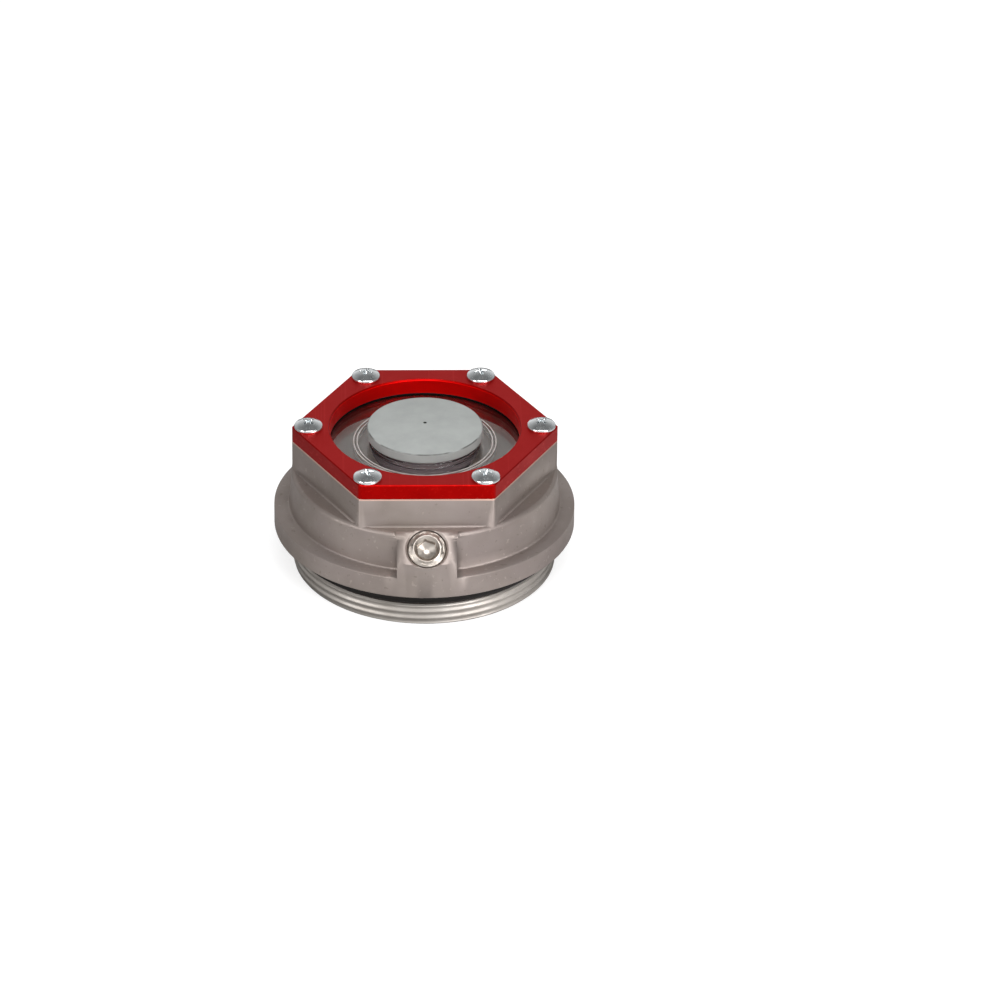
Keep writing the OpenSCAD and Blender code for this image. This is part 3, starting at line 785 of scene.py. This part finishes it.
def grid_mesh(name, points):
    """A mesh from a grid of points, with quads between neighbours, and doubles merged."""
    rows, columns = points.shape[:2]
    index = np.arange(rows * columns).reshape(rows, columns)
    quads = np.stack([index[:-1, :-1], index[:-1, 1:], index[1:, 1:], index[1:, :-1]], -1).reshape(-1, 4)
    mesh = bpy.data.meshes.new(name)
    mesh.from_pydata(points.reshape(-1, 3).tolist(), [], quads.tolist())
    work = bmesh.new()
    work.from_mesh(mesh)
    bmesh.ops.remove_doubles(work, verts=work.verts, dist=MERGE_DISTANCE)
    bmesh.ops.dissolve_degenerate(work, edges=work.edges, dist=THIN_EDGE)
    bmesh.ops.recalc_face_normals(work, faces=work.faces)
    work.to_mesh(mesh)
    work.free()
    return mesh


def shade_smooth(mesh, degrees):
    """Smooth shading, with a sharp line wherever two faces meet at more than the angle."""
    mesh.polygons.foreach_set("use_smooth", np.ones(len(mesh.polygons), bool))
    mesh.set_sharp_from_angle(angle=math.radians(degrees))


def new_piece(name, mesh, material, slot, *replaced):
    """Links a finished piece at the origin, lets it ride on the body and hides the nodes that it takes the
    place of.
    """
    mesh.materials.clear()
    mesh.materials.append(material)
    piece = add_object(name, mesh)
    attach(piece, "root")
    if replaced:
        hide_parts(*replaced)
    return piece


def thread_ring(radius, held, angle):
    """The thread with a plain wall behind it, so that it is a closed ring in the spigot's wall."""
    inset, step = 0.03 * MM, 0.2 * MM
    first = np.full((1, radius.shape[1]), THREAD_LENGTH - inset)
    last = np.full_like(first, inset)
    end_r = np.full_like(first, THREAD_R - THREAD_CHAMFER - step)
    inner = np.full_like(first, THREAD_INNER_R)
    loops = np.concatenate([inner, end_r, radius, end_r, inner, inner])
    heights = np.concatenate([first, first, held, last, last, first])
    return grid_mesh("hub_thread", spin(loops, heights, angle))


THREAD_SHARP, TURNED_SHARP = 24, 28
thread = thread_ring(radius, held, angle)
shade_smooth(thread, THREAD_SHARP)
new_piece("hub_thread", thread, turned, "cast_aluminium")
print("thread: %d faces" % len(thread.polygons))

# %% Casting without the smooth cylinder
CAD_MERGE, MARGIN = 2e-6, 0.02 * MM


def casting_without_cylinder():
    """The housing's own faces, merged, apart from the spigot's outside and its chamfers."""
    work = bmesh.new()
    work.from_mesh(nodes["housing"].data)
    bmesh.ops.remove_doubles(work, verts=work.verts, dist=CAD_MERGE)
    inside = THREAD_R - THREAD_CHAMFER - MARGIN
    top = THREAD_LENGTH + MARGIN
    gone = [face for face in work.faces
            if all(math.hypot(v.co.x, v.co.y) > inside and v.co.z < top for v in face.verts)]
    bmesh.ops.delete(work, geom=gone, context="FACES")
    mesh = bpy.data.meshes.new("casting")
    work.to_mesh(mesh)
    work.free()
    print("cylinder faces left out:", len(gone))
    return mesh


casting = casting_without_cylinder()

# %% [markdown]
# Where the filler boss runs into the drum the real casting has a crisp corner, and the port's countersink is
# shallow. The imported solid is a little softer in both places. The copy of the casting is corrected by moving
# only the points that lie on those small surfaces, and each point stays on the larger surface it borders.

# %% The filler boss
BOSS_HALF, BOSS_BACK_Y, BOSS_FOOT_Z = 12.8 * MM, -45 * MM, 27.89 * MM
DRUM_R, FLANGE_R = 57.735 * MM, 65.335 * MM
PACKED_ROUND, CRISP_ROUND = 1.4 * MM, 0.5 * MM
SEAT_SLOPE = math.radians(43)
SEAT_EDGE_Y, LEDGE_Z = -54.085 * MM, 44.9 * MM
UP_SLOPE = np.array([0, math.cos(SEAT_SLOPE), math.sin(SEAT_SLOPE)])
OUT_OF_SEAT = np.array([0, -math.sin(SEAT_SLOPE), math.cos(SEAT_SLOPE)])
SEAT_AXES = np.array([[1, 0, 0], UP_SLOPE, OUT_OF_SEAT])
ON_ROUND, ON_FACE, ROUND_END = 0.03 * MM, 0.004 * MM, 0.05 * MM
ROUND_STEPS = 60


def boss_round(size):
    """Centre of the round between the boss's side and the drum, in plan: it touches a plane and a circle."""
    x = BOSS_HALF + size
    return np.array([x, -math.sqrt((DRUM_R + size) ** 2 - x ** 2)])


def round_width(from_axis, size):
    """Half width of the boss at a distance from the cap's axis: along the round, and straight beyond it."""
    centre = boss_round(size)
    turn = np.linspace(math.atan2(-centre[1], -centre[0]), math.pi, ROUND_STEPS)
    x, y = centre[0] + size * np.cos(turn), centre[1] + size * np.sin(turn)
    return np.interp(from_axis, np.hypot(x, y), x)


def seat_height(y):
    """Height of the sloping seat at a place along Y."""
    return LEDGE_Z - (SEAT_EDGE_Y - y) * math.tan(SEAT_SLOPE)


def crisper_boss(points):
    """Points on the boss's rounds move round the cap's axis, and those by the seat move level across it."""
    x, y, z = points.T
    wide, radius = np.abs(x), np.hypot(x, y)
    front = (y < BOSS_BACK_Y) & (z > BOSS_FOOT_Z)
    centre = boss_round(PACKED_ROUND)
    on_round = front & (np.abs(np.hypot(wide - centre[0], y - centre[1]) - PACKED_ROUND) < ON_ROUND)
    on_round &= (wide < centre[0] - ROUND_END) & (radius > DRUM_R - ON_ROUND)
    on_side = front & (np.abs(wide - BOSS_HALF - PACKED_ROUND) < ON_FACE)
    on_seat = np.abs(z - seat_height(y)) < ON_FACE
    new_wide = np.where(on_round, round_width(radius, CRISP_ROUND), wide)
    new_wide = np.where(on_side, BOSS_HALF + CRISP_ROUND, new_wide)
    turned_y = -np.sqrt(np.maximum(radius ** 2 - new_wide ** 2, 0))
    new_y = np.where(on_round | (on_side & ~on_seat), turned_y, y)
    new_z = np.where(on_round & on_seat, seat_height(new_y), z)
    print("boss points moved: %d on the rounds, %d beside the seat" % (on_round.sum(), on_side.sum()))
    return np.stack([np.sign(x) * new_wide, new_y, new_z], -1)


print("boss corner: %.1f mm becomes %.1f mm" % (PACKED_ROUND / MM, CRISP_ROUND / MM))

# %% The port's countersink
PORT_CENTRE = np.array([0, -59.68, 39.683]) * MM
PORT_R, PACKED_SINK = 8.4 * MM, 1.15 * MM
SINK_WIDTH, SINK_DEPTH = 0.9 * MM, 0.5 * MM
ON_EDGE, ON_SEAT = 0.02 * MM, 0.01 * MM
BEHIND_FRONT = 0.06 * MM
LEAST_RADIUS = 1e-9


def shallower_sink(points):
    """Points on the two edges of the port's countersink move to its new width and depth. Those on the lower
    edge stay behind the boss's round front."""
    across, up, out = ((points - PORT_CENTRE) @ SEAT_AXES.T).T
    radius = np.hypot(across, up)
    lower = (np.abs(out + PACKED_SINK) < ON_EDGE) & (np.abs(radius - PORT_R) < ON_EDGE)
    upper = (np.abs(out) < ON_SEAT) & (np.abs(radius - PORT_R - PACKED_SINK) < ON_EDGE)
    scale = np.where(upper, (PORT_R + SINK_WIDTH) / np.maximum(radius, LEAST_RADIUS), 1.0)
    front_y = -np.sqrt(np.maximum((FLANGE_R - BEHIND_FRONT) ** 2 - across ** 2, 0))
    inside_front = (PORT_CENTRE[1] + up * UP_SLOPE[1] - front_y) / -OUT_OF_SEAT[1]
    new_out = np.where(lower, np.minimum(-SINK_DEPTH, inside_front), out)
    print("countersink points moved: %d lower, %d upper" % (lower.sum(), upper.sum()))
    moved = PORT_CENTRE + np.stack([across * scale, up * scale, new_out], -1) @ SEAT_AXES
    return np.where((lower | upper)[:, None], moved, points)


corners = np.empty(len(casting.vertices) * 3)
casting.vertices.foreach_get("co", corners)
moved = shallower_sink(crisper_boss(corners.reshape(-1, 3)))
casting.vertices.foreach_set("co", moved.ravel())
casting.update()
shade_smooth(casting, THREAD_SHARP)
new_piece("casting", casting, cast, "cast_aluminium", "housing")
print("furthest move %.2f mm" % (np.abs(moved - corners.reshape(-1, 3)).max() / MM))

# %% [markdown]
# The two level rings stand out of the window as fine frosted lines. Each gets a skin of white, scattering
# plastic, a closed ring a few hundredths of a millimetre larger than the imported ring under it.

# %% Frosted level rings
RING_WIDTH, RING_HEIGHT, RING_SKIN = 0.5 * MM, 0.3 * MM, 0.03 * MM
RING_COLUMNS = 360
FROST_DARK, FROST_LIGHT, FROST_ROUGH = linear(156, 150, 146), linear(188, 184, 180), (0.5, 0.35)


def frosted_plastic():
    """White plastic that scatters light, as a ground line in clear plastic does."""
    material, tree, shader = new_material("frosted_plastic")
    haze = use(tree, MOTTLING, Scale=300.0)["Mask"]
    fill(tree, shader, {"Base Color": blend_colours(tree, haze, FROST_DARK, FROST_LIGHT),
                        "Roughness": pick(tree, haze, FROST_ROUGH)})
    return material


def ring_skin(name, middle):
    """A rectangular section carried round the axis: four corners, closed, at every angle."""
    angle = np.linspace(0, 2 * np.pi, RING_COLUMNS + 1)
    half = RING_WIDTH / 2 + RING_SKIN
    low, high = WINDOW_TOP - RING_SKIN, WINDOW_TOP + RING_HEIGHT + RING_SKIN
    across = middle + np.array([-half, -half, half, half, -half])
    height = np.array([low, high, high, low, low])
    return grid_mesh(name, spin(across[:, None], height[:, None], angle))


frosted = frosted_plastic()
for name, middle in zip(("level_ring_inner", "level_ring_outer"), LEVEL_RINGS):
    ring = ring_skin(name, middle)
    shade_smooth(ring, TURNED_SHARP)
    new_piece(name, ring, frosted, "clear_plastic")
print("each level ring: %d faces" % len(ring.polygons))

# %% [markdown]
# The screws are pan heads with a cross recess. Seen along the screw's axis the recess is star-shaped: every
# direction meets its edge once. So a grid in polar form can let its rows follow that edge, first up the
# walls and then out over the dome, and the edge stays crisp with few faces. A smooth minimum rounds the
# arms. The head's outer edge turns over in a round shoulder, which is where each screw catches the light.

# %% Screws
SCREW_COUNT, SCREW_COLUMNS = 6, 144
FIRST_SCREW_TURN = 45
HEAD_R, HEAD_H, HEAD_RIM = 6.25 * MM, 3.0 * MM, 0.9 * MM
DOME_R = (HEAD_R ** 2 + (HEAD_H - HEAD_RIM) ** 2) / (2 * (HEAD_H - HEAD_RIM))
DOME_SHARES = (0.06, 0.2, 0.4, 0.6, 0.8, 1.0)
SHOULDER, SHOULDER_FOOT = 0.8 * MM, 0.2 * MM
SHOULDER_TURNS = (0.45, 0.7, 0.95, 1.2, 1.4, math.pi / 2)
HEAD_FOOT_STEP = 0.15 * MM
SHANK_R, SHANK_LENGTH, SHANK_TIP = 3.0 * MM, 16.0 * MM, 0.6 * MM
RECESS_ROWS = [(2.1, 2.2, 1.0), (1.5, 3.5, 1.1), (0.6, 5.5, 1.2), (0.15, 5.8, 1.3), (0.0, 6.0, 1.5)]
RECESS_FLAT_FROM = 0.3
CROSS_POWER, THIN_ANGLE = 6.0, 1e-4


def cross_edge(angle, turn, length, width):
    """Distance from the axis to the cross: the smooth least of its arms' sides and its arms' ends."""
    off = np.mod(angle - turn + np.pi / 4, np.pi / 2) - np.pi / 4
    side = 0.5 * width / np.maximum(np.abs(np.sin(off)), THIN_ANGLE)
    end = 0.5 * length / np.cos(off)
    return (side ** -CROSS_POWER + end ** -CROSS_POWER) ** (-1 / CROSS_POWER)


def dome(distance):
    """Height of the head's top at a distance from the axis: a sphere, at its highest the head's height."""
    return HEAD_H - DOME_R + np.sqrt(DOME_R ** 2 - distance ** 2)


def screw_rows(turn):
    """Rows of (distance, height): up the recess, over the dome, down the shoulder and shank, to the tip."""
    angle = np.linspace(0, 2 * np.pi, SCREW_COLUMNS + 1)
    one = np.ones_like(angle)
    rows = [(0 * one, (HEAD_H - RECESS_ROWS[0][0] * MM) * one)]
    for depth, length, width in RECESS_ROWS:
        edge = cross_edge(angle, turn, length * MM, width * MM)
        top = dome(edge) if depth < RECESS_FLAT_FROM else HEAD_H * one
        rows.append((edge, top - depth * MM))
    mouth = rows[-1][0]
    for share in DOME_SHARES:
        distance = mouth + share * (HEAD_R - SHOULDER - mouth)
        rows.append((distance, dome(distance)))
    rise = dome(HEAD_R - SHOULDER) - SHOULDER_FOOT
    outline = [(HEAD_R - SHOULDER * (1 - math.sin(lean)), SHOULDER_FOOT + rise * math.cos(lean))
               for lean in SHOULDER_TURNS]
    outline += [(HEAD_R - HEAD_FOOT_STEP, 0), (SHANK_R, 0), (SHANK_R, SHANK_TIP - SHANK_LENGTH),
                (SHANK_R - SHANK_TIP, -SHANK_LENGTH), (0, -SHANK_LENGTH)]
    rows += [(distance * one, height * one) for distance, height in outline]
    distances, heights = (np.stack(part) for part in zip(*rows))
    return distances, heights, angle


for number in range(1, SCREW_COUNT + 1):
    low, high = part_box("screw_%d" % number)
    seat = np.array([(low.x + high.x) / 2, (low.y + high.y) / 2, bezel_top])
    turn = math.radians(FIRST_SCREW_TURN + 360 / SCREW_COUNT * number)
    screw = grid_mesh("pan_screw_%d" % number, seat + spin(*screw_rows(turn)))
    shade_smooth(screw, TURNED_SHARP)
    new_piece("pan_screw_%d" % number, screw, zinc, "zinc_plated_steel", "screw_%d" % number)
print("each screw: %d faces" % len(screw.polygons))

# %% [markdown]
# The filler plug is a pipe plug that sits square in the boss's slope. It is worked out upright about its own
# axis, in the same way as the screws, and then leant over with the seat. Its socket is a hexagon below a
# cone, with the drill's shallow cone for a floor. The first turns of its thread run out on the chamfer
# round its face, where they are broken.

# %% Filler plug
PLUG_COLUMNS = 240
PLUG_FACE = np.array([0, -60.157, 40.195]) * MM
PLUG_R, PLUG_LENGTH, PLUG_TIP = 8.35 * MM, 10.5 * MM, 1.0 * MM
FACE_EDGE_R, FACE_FALL = 6.45 * MM, 0.24 * MM
CHAMFER_R, CHAMFER_H = 7.95 * MM, 1.25 * MM
RELIEF_STEP, RELIEF_END, RELIEF_RISE = 0.05 * MM, 3.2 * MM, 0.4 * MM
SOCKET_TURN = math.radians(-20)
SOCKET_FLAT, SOCKET_DEPTH, SOCKET_MOUTH = 7.94 * MM, 6.0 * MM, 5.6 * MM
SOCKET_MIDDLE = 0.4
DRILL_POINT = 1.3 * MM
FLOOR_SHARES, SHORT_STEP = (0, 0.4, 0.97), 0.1 * MM
RING_COUNT, RING_RISE = 3, 0.11 * MM
RING_SHARES = np.linspace(0.04, 0.97, 28)
BREAK_MIDDLE, BREAK_SWING, BREAK_LEAST, FADE = 0.75, 0.9, 0.15, 4


def hexagon_edge(angle, flats):
    """Distance from the axis to a hexagon with a corner at angle 0."""
    return flats / 2 / np.cos(np.mod(angle, np.pi / 3) - np.pi / 6)


def thread_dip(angle, share):
    """Depth of the thread between its ridges at a share of the chamfer: a cosine with one ridge a turn,
    broken by the product of two sines, and faded out at both ends."""
    turns = RING_COUNT * share - angle / (2 * np.pi)
    groove = 0.5 + 0.5 * np.cos(2 * np.pi * turns)
    waves = np.sin(3 * angle + 5 * share) * np.sin(7 * angle + 1.3)
    broken = np.clip(BREAK_MIDDLE + BREAK_SWING * waves, BREAK_LEAST, 1)
    fade = min(1.0, FADE * share, FADE * (1 - share))
    return RING_RISE * fade * broken * groove


def plug_rows():
    """Rows of (distance, height): up the socket's floor, walls and cone, over the face and down the side."""
    angle = np.linspace(0, 2 * np.pi, PLUG_COLUMNS + 1)
    one = np.ones_like(angle)
    hexagon = hexagon_edge(angle - SOCKET_TURN, SOCKET_FLAT)
    slope = DRILL_POINT / (SOCKET_FLAT / 2)
    rows = [(share * hexagon, share * slope * hexagon - SOCKET_DEPTH) for share in FLOOR_SHARES]
    rows += [(hexagon, slope * hexagon + SHORT_STEP - SOCKET_DEPTH),
             (hexagon, -SOCKET_MIDDLE * SOCKET_DEPTH * one), (hexagon, hexagon - SOCKET_MOUTH),
             (SOCKET_MOUTH * one, 0 * one), ((SOCKET_MOUTH + SHORT_STEP) * one, 0 * one),
             (FACE_EDGE_R * one, -FACE_FALL * one)]
    for share in RING_SHARES:
        dip = thread_dip(angle, share)
        distance = FACE_EDGE_R + (CHAMFER_R - FACE_EDGE_R) * share
        rows.append((distance - 0.5 * dip, -FACE_FALL - (CHAMFER_H - FACE_FALL) * share - dip))
    outline = [(CHAMFER_R, -CHAMFER_H - RELIEF_STEP), (CHAMFER_R, -RELIEF_END),
               (PLUG_R, -RELIEF_END - RELIEF_RISE), (PLUG_R, PLUG_TIP - PLUG_LENGTH),
               (PLUG_R - PLUG_TIP, -PLUG_LENGTH), (0, -PLUG_LENGTH)]
    rows += [(distance * one, height * one) for distance, height in outline]
    distances, heights = (np.stack(part) for part in zip(*rows))
    return distances, heights, angle


plug = grid_mesh("pipe_plug", PLUG_FACE + spin(*plug_rows()) @ SEAT_AXES)
shade_smooth(plug, TURNED_SHARP)
new_piece("pipe_plug", plug, steel, "plug_steel", "filler_plug")
plug_points = np.array([vertex.co for vertex in plug.vertices])
plug_box = np.stack([plug_points.min(0), plug_points.max(0)])
packed_box = np.array([list(corner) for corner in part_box("filler_plug")])
print("plug: %d faces" % len(plug.polygons))
print("off its packed box by mm:", np.round((plug_box - packed_box) / MM, 3).tolist())
